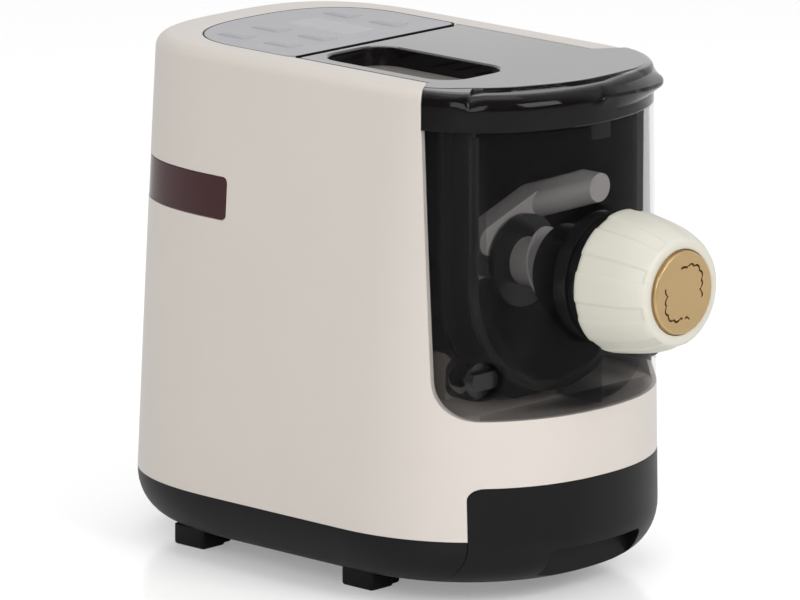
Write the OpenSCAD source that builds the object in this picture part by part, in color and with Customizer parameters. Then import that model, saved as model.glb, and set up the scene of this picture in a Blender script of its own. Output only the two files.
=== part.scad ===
// Electric pasta maker: a white housing on a black base, a smoked lid and front cover,
// a mixing bowl, an extruding auger with a screwed die holder, and a geared motor behind.
// Millimetres. +Z is up, the front is -Y, and the origin is at the middle of the footprint.

/* [Body] */
// Width of the body at the seam between base and housing
body_w = 214; // [200:1:240]
// Length of the body at that seam, without the die holder
body_len = 324; // [310:1:350]
// Height of the top above the table
body_h = 300; // [290:1:320]
// Height of the seam between base and housing
seam_h = 41; // [38:1:46]
// How far each side leans in between the seam and the top
side_lean = 17; // [8:1:20]
// How far the back leans in between the seam and the top
rear_lean = 14; // [6:1:20]
// Depth of the curved front at the seam
front_depth = 107; // [90:1:120]
// Depth of the curved front at the top
front_depth_top = 79; // [70:1:90]
// Depth of the curved back at the seam
rear_depth = 119; // [100:1:130]
// Depth of the curved back at the top
rear_depth_top = 99; // [85:1:110]
// Rounding of the top edge
top_round = 8; // [5:0.5:9]
// Wall of the housing and the base
wall = 2.8; // [2.2:0.2:3.4]
// Thickness of the housing's top
roof = 6.5; // [6.5:0.5:8]
// Height of the feet under the base
foot_h = 12; // [8:1:14]
// How far the base's underside lies inside the seam
base_tuck = 24; // [14:1:28]

/* [Front cover and bay] */
// Bottom edge of the smoked front cover
cover_z = 111; // [105:1:118]
// Height of the lid's skirt, above the front cover's top edge
lid_skirt = 23; // [20:1:26]
// Place of the cover's side edge at the top
cover_edge_y = -69.5; // [-76:0.5:-66]
// Radius of the cover's lower corners
cover_corner_r = 24; // [16:1:28]
// Wall of the smoked cover
cover_wall = 2.6; // [2:0.2:3.2]
// Gap between neighbouring covers
gap = 0.4; // [0.3:0.1:0.6]

/* [Lid] */
// Half width of the lid between the housing's sides
lid_half_w = 68.6; // [68:0.1:70]
// Place of the lid's hinge, from front to back
hinge_y = 45; // [43:0.5:46]
// Radius of the round rear edge of the lid
hinge_r = 4.4; // [4:0.1:4.8]
// Radius of the lid's hinge pin
hinge_pin_r = 2; // [1.5:0.1:2.4]
// Width of the step around the lid's raised plate
lid_step_w = 17; // [13:1:18]
// Height of the raised plate above the step
lid_step_h = 3.4; // [3:0.1:4]
// Depth of the pouring recess
pour_depth = 12; // [9:1:14]

/* [Die holder] */
// Height of the mixing and extruding axis
axis_h = 188; // [185:1:190]
// Reach of the die holder in front of the body
nozzle_reach = 61; // [57:1:66]
// Radius of the die holder's rear rim
nut_r = 43.5; // [41:0.5:46]
// Radius of the die holder's front face
nut_face_r = 31; // [29:0.5:33]
// Length of the die holder
nut_len = 47; // [44:1:50]
// Number of grips around the die holder
nut_grips = 9; // [6:1:12]
// Radius of the die that shows
die_r = 24; // [22:0.5:25]
// Radius of the barrel's bore
bore_r = 22; // [20:0.5:22]

/* [Bowl and mixer] */
// Inner radius of the bowl
bowl_r = 66; // [60:0.5:66]
// Wall of the bowl
bowl_wall = 3; // [2.4:0.2:3.4]
// Distance from the top of the body down to the bowl's top edge
bowl_drop = 12; // [11:1:16]
// Radius of the mixer's hub
mixer_hub_r = 14; // [12:0.5:16]
// Pitch of the auger
auger_pitch = 30; // [24:1:36]

/* [Drive] */
// Tooth module of the gears
tooth_m = 1.25; // [1.2:0.05:1.3]
// Teeth on each large gear
wheel_teeth = 48; // [44:4:48]
// Teeth on each pinion
pinion_teeth = 12; // [12:1:13]
// Radius of the motor
motor_r = 38; // [34:1:40]
// Length of the motor's can
motor_len = 52; // [44:1:54]
// Radius of the mixer's drive shaft
shaft_r = 7; // [6:0.5:8]
// Radius of the motor's shaft
motor_shaft_r = 4; // [3.5:0.25:4.25]

/* [Drawer] */
// Half width of the drawer front
drawer_half_w = 80; // [70:1:84]
// Top of the drawer front
drawer_top = 71.8; // [66:0.2:76]
// Depth of the drawer from the front of the body
drawer_len = 145; // [110:1:160]

/* [Controls] */
// Half width of the control panel
panel_half_w = 70; // [68:0.5:71]
// Width of a key
key_w = 12; // [10:0.5:14]
// Length of a key
key_len = 22; // [18:1:26]
// Travel of a key
key_travel = 0.8; // [0.5:0.1:0.9]
// How far a key stands above the panel
key_rise = 1.2; // [1:0.1:1.6]
// Radius of a locking knob
knob_r = 10.5; // [9:0.5:12]

/* [Hidden] */
$fn = 64;

ivory = "#e6ddd6";
black = "#222224";
grey = "#a9a9ae";
smoke = "#4a4548";
steel = "#b9bcc0";
brass = "#c09a58";
thin = 0.01;      // a slice of a rounded form
fit = 0.2;        // play between flat faces of neighbours
run = 0.05;       // radial running fit of a shaft in its bore
front_full = 2.2; // fullness of the front curve, where 2 is an ellipse
rear_full = 2.6;
rear_full_top = 3;
arc_steps = 48;

cover_top = body_h - lid_skirt;
bowl_top = body_h - bowl_drop;
rear_y = (body_len + nozzle_reach) / 2;
front_y = rear_y - body_len;
nut_front_y = front_y - nozzle_reach;

// ---- outline of the body at any height ----
function rise(z) = (z - seam_h) / (body_h - seam_h);
function between(a, b, z) = a + (b - a) * rise(z);
function half_w(z) = body_w / 2 - side_lean * rise(z);
function rear_at(z) = rear_y - rear_lean * rise(z);
function front_at(z) = front_y + 2 * rise(z);
function curve_x(t, a, n) = a * sign(cos(t)) * pow(abs(cos(t)), 2 / n);
function curve_y(t, b, n) = b * pow(abs(sin(t)), 2 / n);
function outline(z, inset) =
  let (w = half_w(z) - inset,
    fd = between(front_depth, front_depth_top, z) - inset,
    rd = between(rear_depth, rear_depth_top, z) - inset,
    fc = front_at(z) + fd + inset,
    rc = rear_at(z) - rd - inset,
    rn = between(rear_full, rear_full_top, z))
  concat(
    [for (i = [0:arc_steps]) let (t = 180 * i / arc_steps)
      [curve_x(t, w, rn), rc + curve_y(t, rd, rn)]],
    [for (i = [0:arc_steps]) let (t = 180 * i / arc_steps)
      [-curve_x(t, w, front_full), fc - curve_y(t, fd, front_full)]]);
function ring(n, r, from, to) = [for (i = [0:n]) let (a = from + (to - from) * i / n)
  [r * cos(a), r * sin(a)]];
function moved(points, dx, dy) = [for (p = points) [p[0] + dx, p[1] + dy]];
function rounded(w, l, r) = concat(
  moved(ring(6, r, 0, 90), w / 2 - r, l / 2 - r),
  moved(ring(6, r, 90, 180), r - w / 2, l / 2 - r),
  moved(ring(6, r, 180, 270), r - w / 2, r - l / 2),
  moved(ring(6, r, 270, 360), w / 2 - r, r - l / 2));

module slice(z, inset) {
  translate([0, 0, z]) linear_extrude(thin) polygon(outline(z, inset));
}
// The tapered body from one height to the top, with its rounded top edge
module body_form(z0, inset = 0) {
  hull() {
    slice(z0, inset);
    for (a = [0, 30, 60, 90]) {
      slice(body_h - top_round - thin + (top_round - inset) * sin(a),
        inset + (top_round - inset) * (1 - cos(a)));
    }
  }
}
module body_cavity(z0, z1, inset) {
  hull() {
    slice(z0, inset);
    slice(z1, inset);
  }
}
// The lower body: curved in under the seam, straight above it
function tuck(z) = base_tuck * (1 - sqrt(1 - pow((seam_h - z) / (seam_h - foot_h), 2)));
module lower_form(inset, z1) {
  span = seam_h - foot_h - inset;
  hull() {
    for (u = [0, 0.04, 0.15, 0.35, 0.6, 0.8, 1]) {
      slice(foot_h + inset + (span - thin) * u, inset + tuck(foot_h + (seam_h - foot_h) * u));
    }
    if (z1 > seam_h) slice(z1, inset);
  }
}
module rod(y0, y1, r, x = 0, z = axis_h) {
  translate([x, y0, z]) rotate([-90, 0, 0]) cylinder(h = y1 - y0, r = r);
}
module tube(y0, y1, r_out, r_in, x = 0, z = axis_h) {
  difference() {
    rod(y0, y1, r_out, x, z);
    rod(y0 - 1, y1 + 1, r_in, x, z);
  }
}
module block(x0, x1, y0, y1, z0, z1) {
  translate([x0, y0, z0]) cube([x1 - x0, y1 - y0, z1 - z0]);
}
// A prism along X from points given as [y, z]
module side_prism(points, half) {
  translate([-half, 0, 0]) rotate([90, 0, 90]) linear_extrude(2 * half) polygon(points);
}

// ---- where the front cover meets the housing, seen from the side ----
edge_slope = 0.067;
edge_len = sqrt(1 + edge_slope * edge_slope);
corner_z = cover_z + cover_corner_r;
corner_y = edge_y(corner_z) - cover_corner_r * edge_len;
lean_angle = atan(edge_slope);
function edge_y(z) = cover_edge_y - edge_slope * (body_h - z);
function cover_side(g) = concat(
  [[edge_y(body_h + 20) - g * edge_len, body_h + 20]],
  moved(ring(10, cover_corner_r - g, -lean_angle, -90), corner_y, corner_z),
  [[front_y - 90, cover_z + g], [front_y - 90, body_h + 20]]);
// where the lid's front meets the housing, seen from above
rim_end_y = cover_edge_y + 12.5;
function lid_front(g) =
  let (w = half_w(body_h))
  [[-lid_half_w - 0.5, rim_end_y - g], [lid_half_w + 0.5, rim_end_y - g],
    [w - 1.5, cover_edge_y - 1 - g], [w + 40, cover_edge_y - 30 - g], [w + 40, front_y - 60],
    [-w - 40, front_y - 60], [-w - 40, cover_edge_y - 30 - g], [1.5 - w, cover_edge_y - 1 - g]];

// ---- lid sizes ----
roof_z = body_h - roof;
step_z = body_h - lid_step_h;
ledge_z = step_z - fit;
ledge_w = 2.6;
hinge_z = body_h - hinge_r;
lid_rear_y = hinge_y + hinge_r;
recess_rear_y = lid_rear_y + gap;
ear_z = hinge_z - 6;

// ---- control panel sizes ----
panel_t = 1.6;
panel_z = body_h - panel_t;
panel_front_y = recess_rear_y + 1.8;
panel_rear_y = rear_at(body_h) - 26.5;
panel_r = 6;
panel_curve = 60;
function panel_shape(g) = concat(
  moved(ring(6, panel_r, 180, 270), -panel_half_w + g + panel_r, panel_front_y + g + panel_r),
  moved(ring(6, panel_r, 270, 360), panel_half_w - g - panel_r, panel_front_y + g + panel_r),
  [for (i = [0:32]) let (t = 180 * i / 32)
    [curve_x(t, panel_half_w - g, rear_full),
      panel_rear_y - panel_curve + curve_y(t, panel_curve - g, rear_full)]]);
key_x = [-45.5, -17, 42.7];
key_y = [80.3, 117.8];
key_flange = 0.8;
key_pocket_z = panel_z - key_flange - 2 * fit - key_travel;
key_stem_r = 2;
lens_w = 26;
lens_len = 52;
lens_x = 13;
lens_y = 98;
board_z = roof_z - 6;
board_t = 1.6;
boss_r = 3.5;
display_board_w = 120;
display_board_len = 66;
screw_r = 1.5;

// ---- bay sizes ----
floor_t = 3;
bay_floor_z = cover_z - floor_t - fit;
wall_front_y = 46;
wall_t = 4;
wall_rear_y = wall_front_y + wall_t;
bowl_rear_y = wall_front_y - 2;
bowl_front_y = -92;
flange_y = -78;
flange_r = half_w(cover_top) - 12.5;
flange_t = 3;

// ---- gearbox and motor ----
centre = tooth_m * (wheel_teeth + pinion_teeth) / 2;
idler_z = axis_h - centre;
motor_z = idler_z - centre;
box_front_y = wall_rear_y;
box_split_y = box_front_y + 22;
box_rear_y = box_front_y + 50;
box_wall = 4;
box_half_w = tooth_m * wheel_teeth / 2 + 8;
box_z0 = motor_z - 22;
box_z1 = axis_h + tooth_m * wheel_teeth / 2 + 8;
output_gear_y = box_front_y + 8;
output_gear_t = 12;
idler_wheel_y = output_gear_y + 17;
idler_wheel_t = 10;
journal_r = 5;
bearing_t = 6;
bearing_out = 5;
idler_r = 4;
motor_front_y = box_rear_y;
bell_t = 6;
can_y = motor_front_y + bell_t;
motor_rear_y = can_y + motor_len + bell_t;
can_wall = 2.5;
box_bolts = [[-26, 30], [26, 30], [-26, -70], [26, -70]];

// ---- barrel, die holder, drawer and knobs ----
nut_rear_y = nut_front_y + nut_len;
collar_r = nut_r - 9;
collar_y = nut_rear_y - 14;
die_seat_r = die_r + 3;
die_t = 8;
die_back_y = nut_front_y + die_t;
barrel_in_y = bowl_front_y - 3;
knob_z = cover_z + cover_corner_r;
knob_x = half_w(knob_z) - 27.8;
knob_y = -99.5;
knob_bar = 5;      // half height of the grip bar across a knob
stem_r = 4;
drawer_front_deep = 70;
drawer_corner = 7;
runner_t = 3;
band_z0 = 204;
band_z1 = 228.4;
band_front_y = 77.8;
band_t = 1.2;
grip_half_w = 38;
grip_top = 33;

// =================== fixed parts ===================
module band_prism(g) {
  mid = (band_z0 + band_z1) / 2;
  len = 200;
  side_prism(moved(rounded(len + 2 * g, band_z1 - band_z0 + 2 * g, 3.5),
    band_front_y + len / 2, mid), body_w);
}
module drawer_front_prism(g) {
  low = foot_h - 20;
  high = drawer_top + g;
  w = 2 * (drawer_half_w + g);
  translate([0, front_y + drawer_front_deep + g, (low + high) / 2]) rotate([90, 0, 0])
    linear_extrude(drawer_front_deep + 20) polygon(rounded(w, high - low, drawer_corner));
}
module key_places() {
  for (x = key_x) for (y = key_y) translate([x, y, 0]) children();
}
module housing() {
  color(ivory) difference() {
    union() {
      difference() {
        body_form(seam_h);
        body_cavity(seam_h - 1, roof_z, wall);
        side_prism(cover_side(0), body_w);
        translate([0, 0, cover_top]) linear_extrude(60) polygon(lid_front(0));
        // recess of the lid, with a ledge on each side
        block(-lid_half_w - 0.5, lid_half_w + 0.5, front_y, recess_rear_y, ledge_z, body_h + 1);
        block(ledge_w - lid_half_w, lid_half_w - ledge_w, front_y, recess_rear_y, roof_z - 1, body_h);
        block(-lid_half_w - 0.5, lid_half_w + 0.5, hinge_y - 6, recess_rear_y, roof_z - 1, body_h);
        translate([0, 0, panel_z]) linear_extrude(5) polygon(panel_shape(0));
        key_places() {
          translate([0, 0, key_pocket_z]) linear_extrude(5)
            polygon(rounded(key_w + 3, key_len + 3, 3));
          translate([0, 0, roof_z - 1]) cylinder(h = 10, r = key_stem_r + 0.4);
        }
        translate([lens_x, lens_y, roof_z - 1]) linear_extrude(10)
          polygon(rounded(lens_w - 4, lens_len - 6, 1));
        drawer_front_prism(gap);
        difference() {
          band_prism(0.15);
          body_form(seam_h, band_t + 0.2);
        }
        block(-inlet_w / 2, inlet_w / 2, 0, rear_y + 5, inlet_z, inlet_z + inlet_h);
        for (i = [0:vents - 1]) translate([(i - (vents - 1) / 2) * 9, 0, 0])
          block(-2, 2, 100, rear_y + 5, vent_z, vent_z + 34);
      }
      for (s = [-1, 1]) {
        // ear that carries the lid's hinge pin
        block(s * ear_x - 3.5, s * ear_x + 3.5, hinge_y - 5, hinge_y + 4, ear_z, roof_z + 1);
        for (y = board_boss_y) translate([s * (display_board_w / 2 - 5), y, board_z + board_t])
          cylinder(h = roof_z - board_z - board_t + 1, r = boss_r);
      }
    }
    translate([-hinge_pin_half, hinge_y, hinge_z]) rotate([0, 90, 0])
      cylinder(h = 2 * hinge_pin_half, r = hinge_pin_r + run);
  }
}
hinge_pin_half = 77;
ear_x = hinge_pin_half - 3.5;
board_boss_y = [68, 128];
inlet_w = 30;
inlet_h = 26;
inlet_z = 54;
inlet_depth = 18;
vents = 9;
vent_z = 110;

module base_pan() {
  color(black) difference() {
    union() {
      difference() {
        lower_form(0, seam_h);
        intersection() {
          lower_form(wall, seam_h + 4);
          block(-body_w, body_w, -body_len, body_len, foot_h + wall, seam_h + 1);
        }
        drawer_front_prism(gap);
      }
      // two runners that the drawer slides between
      for (s = [-1, 1]) block(s * runner_mid - runner_t / 2, s * runner_mid + runner_t / 2,
        front_y + drawer_front_deep + 2, drawer_rear_y + 4, foot_h + wall - 1, seam_h - 2);
    }
    for (x = [-foot_x, foot_x]) for (y = foot_y) translate([x, y, foot_h - 1]) cylinder(h = 30, r = screw_r);
  }
}
foot_x = 72;
foot_len = 25;
foot_w = 26;
foot_y = [-16.6, 119.9];
runner_x = drawer_half_w - 6;
runner_mid = runner_x + runner_t / 2 + fit;
drawer_rear_y = front_y + drawer_len;

module feet() {
  color(black) for (x = [-foot_x, foot_x]) for (y = foot_y) difference() {
    block(x - foot_w / 2, x + foot_w / 2, y - foot_len / 2, y + foot_len / 2, 0, foot_h);
    translate([x, y, -1]) cylinder(h = 6, r = 4);
    translate([x, y, 1]) cylinder(h = 30, r = screw_r);
  }
}
module base_screws() {
  color(steel) for (x = [-foot_x, foot_x]) for (y = foot_y) translate([x, y, 0]) {
    translate([0, 0, 2.6]) cylinder(h = 2.4, r = 3);
    translate([0, 0, 4]) cylinder(h = foot_h + wall - 4, r = screw_r);
  }
}
module control_panel() {
  color(grey) difference() {
    translate([0, 0, panel_z]) linear_extrude(panel_t) polygon(panel_shape(0.15));
    key_places() translate([0, 0, panel_z - 1]) linear_extrude(5)
      polygon(rounded(key_w + 2 * fit, key_len + 2 * fit, 2.5));
    translate([lens_x, lens_y, panel_z - 1]) linear_extrude(5) polygon(rounded(lens_w, lens_len, 1.5));
  }
}
module display_lens() {
  color("#c6c6cb") translate([lens_x, lens_y, panel_z])
    linear_extrude(panel_t) polygon(rounded(lens_w - 0.1, lens_len - 0.1, 1.5));
}
module key(x, y) {
  color(grey) translate([x, y, 0]) {
    translate([0, 0, panel_z - fit]) linear_extrude(panel_t + fit + key_rise)
      polygon(rounded(key_w, key_len, 2.3));
    translate([0, 0, panel_z - fit - key_flange]) linear_extrude(key_flange)
      polygon(rounded(key_w + 2, key_len + 2, 2.5));
    translate([0, 0, key_stem_z]) cylinder(h = panel_z - key_stem_z - 0.5, r = key_stem_r);
  }
}
switch_t = 2.2;
key_stem_z = board_z + board_t + switch_t + key_travel + 0.1;
module key_power() { key(key_x[0], key_y[1]); }
module key_start() { key(key_x[0], key_y[0]); }
module key_menu() { key(key_x[1], key_y[1]); }
module key_water() { key(key_x[1], key_y[0]); }
module key_time() { key(key_x[2], key_y[1]); }
module key_speed() { key(key_x[2], key_y[0]); }

module display_board() {
  mid_y = (board_boss_y[0] + board_boss_y[1]) / 2;
  color("#2f6b3f") {
    translate([0, mid_y, board_z]) linear_extrude(board_t)
      polygon(rounded(display_board_w, display_board_len, 2));
    key_places() translate([0, 0, board_z + board_t]) linear_extrude(switch_t) square(6, center = true);
    translate([lens_x, lens_y, board_z + board_t]) linear_extrude(panel_z - board_z - board_t - fit)
      polygon(rounded(lens_w - 5, lens_len - 7, 1));
  }
}
module side_band() {
  color(black) intersection() {
    band_prism(0);
    difference() {
      body_form(seam_h);
      body_form(seam_h, band_t);
    }
  }
}
module bay_floor() {
  saddle_y = [-52, 18];
  color(ivory) {
    difference() {
      intersection() {
        body_cavity(seam_h, roof_z, wall + fit);
        block(-body_w, body_w, front_y, wall_front_y - fit, bay_floor_z, bay_floor_z + floor_t);
      }
      // a low bowl sinks into the floor
      if (axis_h - bowl_r - bowl_wall < bay_floor_z + floor_t) {
        rod(bowl_front_y - fit, bowl_rear_y + fit, bowl_r + bowl_wall + fit);
      }
    }
    // two saddles that carry the bowl
    for (y = saddle_y) difference() {
      block(-48, 48, y, y + 10, bay_floor_z + floor_t, axis_h - 36);
      rod(y - 1, y + 11, bowl_r + bowl_wall + fit);
    }
  }
}
module bulkhead() {
  color(black) difference() {
    intersection() {
      body_cavity(seam_h, roof_z - fit, wall + fit);
      block(-body_w, body_w, wall_front_y, wall_rear_y, min(bay_floor_z, axis_h + box_bolts[2][1] - 8), ear_z - fit);
    }
    rod(wall_front_y - 1, wall_rear_y + 1, shaft_r + bearing_out + 2);
    for (b = box_bolts) rod(wall_front_y - 1, wall_rear_y + 1, screw_r + 0.2, b[0], axis_h + b[1]);
  }
}
// The bowl: a round bottom and straight sides, open at the top and at the front
module trough(y0, y1, r, z1) {
  difference() {
    union() {
      rod(y0, y1, r);
      block(-r, r, y0, y1, axis_h, z1);
    }
    if (axis_h + r > z1) block(-r - 1, r + 1, y0 - 1, y1 + 1, z1, axis_h + r + 1);
  }
}
module bowl() {
  r = bowl_r + bowl_wall;
  color(black) difference() {
    union() {
      trough(bowl_front_y, bowl_rear_y, r, bowl_top);
      trough(flange_y, flange_y + flange_t, flange_r, bowl_top);
      block(4 - flange_r, flange_r - 4, flange_y, bowl_rear_y, bowl_top - 3, bowl_top);
    }
    trough(bowl_front_y - 1, bowl_rear_y - bowl_wall, bowl_r, bowl_top + 1);
    rod(bowl_rear_y - 10, bowl_rear_y + 1, shaft_r + 5);
    // room for the pouring cup, and a flat where the flange stands on the floor
    block(-bowl_r, bowl_r, bowl_rear_y - 10, bowl_rear_y + 1, body_h - pour_depth - pour_wall - 2, bowl_top + 1);
    block(-flange_r, flange_r, flange_y - 1, flange_y + flange_t + 1, axis_h - flange_r - 1, bay_floor_z + floor_t);
  }
}
module bowl_seal() {
  color("#7a2f2a") tube(bowl_rear_y - bowl_wall - 0.6, bowl_rear_y + 1, shaft_r + 5, shaft_r + run);
}

// =================== drive ===================
// Straight-cut gear between y0 and y1: tooth sides are planes, with some play
function gear_points(n, m) = [for (i = [0:n - 1]) for (c = [0:3])
  let (rp = m * n / 2,
    r = (c == 0 || c == 3) ? rp - 1.2 * m : rp + 0.85 * m,
    half = (c == 0 || c == 3) ? 0.92 * m : 0.4 * m,
    s = c < 2 ? -1 : 1,
    a = 360 * i / n + s * asin(half / r))
  [r * cos(a), r * sin(a)]];
module gear(n, y0, y1, z, r_bore, turn) {
  difference() {
    translate([0, y1, z]) rotate([90, 0, 0]) rotate(turn)
      linear_extrude(y1 - y0) polygon(gear_points(n, tooth_m));
    rod(y0 - 1, y1 + 1, r_bore, 0, z);
  }
}
half_tooth = 180 / pinion_teeth;
module output_gear() {
  color("#d8cfa8") gear(wheel_teeth, output_gear_y, output_gear_y + output_gear_t, axis_h, shaft_r, 90);
}
module idler_gear() {
  color(steel) difference() {
    union() {
      gear(wheel_teeth, idler_wheel_y, idler_wheel_y + idler_wheel_t, idler_z, idler_r + run, 90);
      gear(pinion_teeth, output_gear_y - 1, idler_wheel_y, idler_z, idler_r + run, 90 + half_tooth);
    }
    rod(box_front_y, box_rear_y, idler_r + run, 0, idler_z);
  }
}
module motor_pinion() {
  color(steel) gear(pinion_teeth, idler_wheel_y - 1, idler_wheel_y + idler_wheel_t + 1, motor_z,
    motor_shaft_r, 90 + half_tooth);
}
module idler_shaft() {
  color(steel) rod(box_front_y + 1, box_rear_y - 1, idler_r, 0, idler_z);
}
module output_shaft() {
  color(steel) {
    rod(coupling_y0, output_gear_y + output_gear_t + 3, shaft_r);
    rod(output_gear_y + output_gear_t + 2, box_rear_y - 2, journal_r);
  }
}
coupling_y0 = 14;
module shaft_bearings() {
  color(steel) {
    tube(box_front_y + fit, box_front_y + fit + bearing_t, shaft_r + bearing_out, shaft_r + run);
    tube(box_rear_y - bearing_t - 2, box_rear_y - 2, journal_r + bearing_out, journal_r + run);
  }
}
module box_prism(y0, y1, inset) {
  translate([0, y1, (box_z0 + box_z1) / 2]) rotate([90, 0, 0])
    linear_extrude(y1 - y0) polygon(rounded(2 * (box_half_w - inset), box_z1 - box_z0 - 2 * inset, 12 - inset));
}
module gearbox_cover() {
  color(grey) difference() {
    union() {
      difference() {
        box_prism(box_front_y, box_split_y, 0);
        box_prism(box_front_y + box_wall, box_split_y + 1, box_wall);
      }
      rod(box_front_y, box_front_y + bearing_t + 1, shaft_r + bearing_out + 3);
      rod(box_front_y, box_front_y + box_wall + 2, idler_r + 4, 0, idler_z);
      for (b = box_bolts) rod(box_front_y, box_split_y, 5, b[0], axis_h + b[1]);
    }
    rod(box_front_y - 1, box_front_y + 20, shaft_r + bearing_out);
    rod(box_front_y + 1, box_front_y + 20, idler_r, 0, idler_z);
    for (b = box_bolts) rod(box_front_y - 1, box_split_y + 1, screw_r + 0.2, b[0], axis_h + b[1]);
  }
}
module gearbox_case() {
  color(grey) difference() {
    union() {
      difference() {
        box_prism(box_split_y, box_rear_y, 0);
        box_prism(box_split_y - 1, box_rear_y - box_wall, box_wall);
      }
      rod(box_rear_y - bearing_t - 3, box_rear_y, journal_r + bearing_out + 3);
      rod(box_rear_y - box_wall - 2, box_rear_y, idler_r + 4, 0, idler_z);
      for (b = box_bolts) rod(box_split_y, box_rear_y, 5, b[0], axis_h + b[1]);
    }
    rod(box_rear_y - bearing_t - 4, box_rear_y - 2, journal_r + bearing_out);
    rod(box_split_y, box_rear_y - 1, idler_r, 0, idler_z);
    rod(box_split_y, box_rear_y + 1, motor_shaft_r + 2, 0, motor_z);
    for (b = box_bolts) rod(box_split_y - 1, box_rear_y - 8, screw_r, b[0], axis_h + b[1]);
  }
}
module gearbox_screws() {
  color(steel) for (b = box_bolts) {
    rod(bowl_rear_y + fit, wall_front_y, 3, b[0], axis_h + b[1]);
    rod(wall_front_y - 1, box_split_y + 16, screw_r, b[0], axis_h + b[1]);
  }
}
module motor_can() {
  color(steel) tube(can_y, can_y + motor_len, motor_r, motor_r - can_wall, 0, motor_z);
}
module motor_end_bells() {
  color(black) for (y = [motor_front_y, can_y + motor_len])
    tube(y, y + bell_t, motor_r, motor_shaft_r + run, 0, motor_z);
}
module motor_stator() {
  color("#a8632f") tube(can_y + 6, can_y + motor_len - 6, motor_r - can_wall, motor_r * 0.62 + 0.5, 0, motor_z);
}
module motor_rotor() {
  color(steel) {
    rod(idler_wheel_y - 3, motor_rear_y + 10, motor_shaft_r, 0, motor_z);
    rod(can_y + 7, can_y + motor_len - 7, motor_r * 0.62, 0, motor_z);
  }
}
module motor_fan() {
  hub_r = motor_shaft_r + 4;
  y0 = motor_rear_y + 1;
  color(black) difference() {
    union() {
      rod(y0, y0 + 8, hub_r, 0, motor_z);
      rod(y0, y0 + 1.5, motor_r - 8, 0, motor_z);
      for (i = [0:8]) translate([0, y0 + 8, motor_z]) rotate([90, 40 * i, 0])
        translate([hub_r - 1, -1, 0]) cube([motor_r - 8 - hub_r, 2, 8]);
    }
    rod(y0 - 1, y0 + 9, motor_shaft_r, 0, motor_z);
  }
}
module motor_cradle() {
  cradle_y = [can_y + 6, can_y + motor_len - 16];
  color(steel) for (y = cradle_y) difference() {
    block(-30, 30, y, y + 10, foot_h + wall, motor_z - 14);
    rod(y - 1, y + 11, motor_r + fit, 0, motor_z);
    block(-20, 20, y - 1, y + 11, foot_h + wall + 6, motor_z - motor_r - 8);
  }
}
module power_board() {
  x = board_x;
  color("#2f6b3f") {
    translate([x, 0, 0]) block(0, board_t, 62, 148, 60, 170);
    translate([x, 0, 0]) block(board_t, board_t + 14, 70, 92, 70, 96);
    translate([x, 0, 0]) block(board_t, board_t + 10, 104, 122, 74, 88);
    translate([x + board_t, 130, 118]) rotate([0, 90, 0]) cylinder(h = 16, r = 8);
    // two feet that stand on the base's floor
    translate([x, 0, 0]) block(-3, 0, 66, 74, foot_h + wall, 78);
    translate([x, 0, 0]) block(-3, 0, 136, 144, foot_h + wall, 78);
  }
}
board_x = 50;
module power_inlet() {
  y1 = rear_at(inlet_z + inlet_h) - wall - 2;
  color(black) difference() {
    union() {
      block(fit - inlet_w / 2, inlet_w / 2 - fit, y1 - inlet_depth, rear_at(inlet_z + inlet_h) - 1, inlet_z + fit,
        inlet_z + inlet_h - fit);
      block(-inlet_w / 2 - 4, inlet_w / 2 + 4, y1 - 3, y1 - 0.5, inlet_z - 4, inlet_z + inlet_h + 4);
    }
    block(-11, 11, y1 - inlet_depth + 3, rear_y + 5, inlet_z + 5, inlet_z + inlet_h - 5);
  }
}
switch_x = half_w(body_h) - 13.5;
module lid_switch() {
  color(black) {
    block(switch_x, switch_x + 7.5, -30, -10, roof_z - 16, roof_z);
    block(switch_x + 1.5, switch_x + 5.5, -26, -22, roof_z - 20, roof_z - 16);
  }
}

// =================== lid ===================
pour_x0 = -59;
pour_x1 = -6;
pour_y0 = -64;
pour_y1 = 41;
pour_wall = 2;
function pour_shape(g) = moved(rounded(pour_x1 - pour_x0 - 2 * g, pour_y1 - pour_y0 - 2 * g, 17 - g),
  (pour_x0 + pour_x1) / 2, (pour_y0 + pour_y1) / 2);
lip_half = 58;
lip_out = 4.5;
module lid() {
  skirt = cover_wall;
  color(smoke) difference() {
    union() {
      // cap over the front cover, with its skirt
      intersection() {
        difference() {
          body_form(cover_top - 20);
          body_cavity(cover_top - 21, step_z - skirt, skirt);
          block(-body_w, body_w, -body_len, 0, step_z, body_h + 5);
        }
        translate([0, 0, cover_top + gap]) linear_extrude(60) polygon(lid_front(gap));
      }
      // raised plate and the part between the housing's sides
      intersection() {
        translate([0, 0, step_z - thin]) linear_extrude(lid_step_h + thin) polygon(outline(body_h, lid_step_w));
        translate([0, 0, step_z - 1]) linear_extrude(9) polygon(lid_front(gap));
      }
      block(-lid_half_w, lid_half_w, rim_end_y - 8, hinge_y, step_z, body_h);
      translate([-lid_barrel_half, hinge_y, hinge_z]) rotate([0, 90, 0])
        cylinder(h = 2 * lid_barrel_half, r = hinge_r);
      // finger lip
      intersection() {
        translate([0, 0, body_h - 9.5]) linear_extrude(3) difference() {
          polygon(outline(body_h, -lip_out));
          polygon(outline(body_h, 3));
        }
        block(-lip_half, lip_half, -body_len, front_y + 60, 0, body_h);
      }
      // cup of the pouring recess
      translate([0, 0, body_h - pour_depth - pour_wall]) linear_extrude(pour_depth) polygon(pour_shape(-pour_wall));
    }
    translate([0, 0, body_h - pour_depth]) linear_extrude(pour_depth + 1) polygon(pour_shape(0));
    for (i = [0:3]) translate([(pour_x0 + pour_x1) / 2, pour_y0 + 28 + 16 * i, body_h - pour_depth - pour_wall - 1])
      linear_extrude(10) polygon(rounded(26, 6, 2.9));
    translate([-lid_half_w - 1, hinge_y, hinge_z]) rotate([0, 90, 0])
      cylinder(h = 2 * lid_half_w + 2, r = hinge_pin_r);
  }
}
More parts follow.
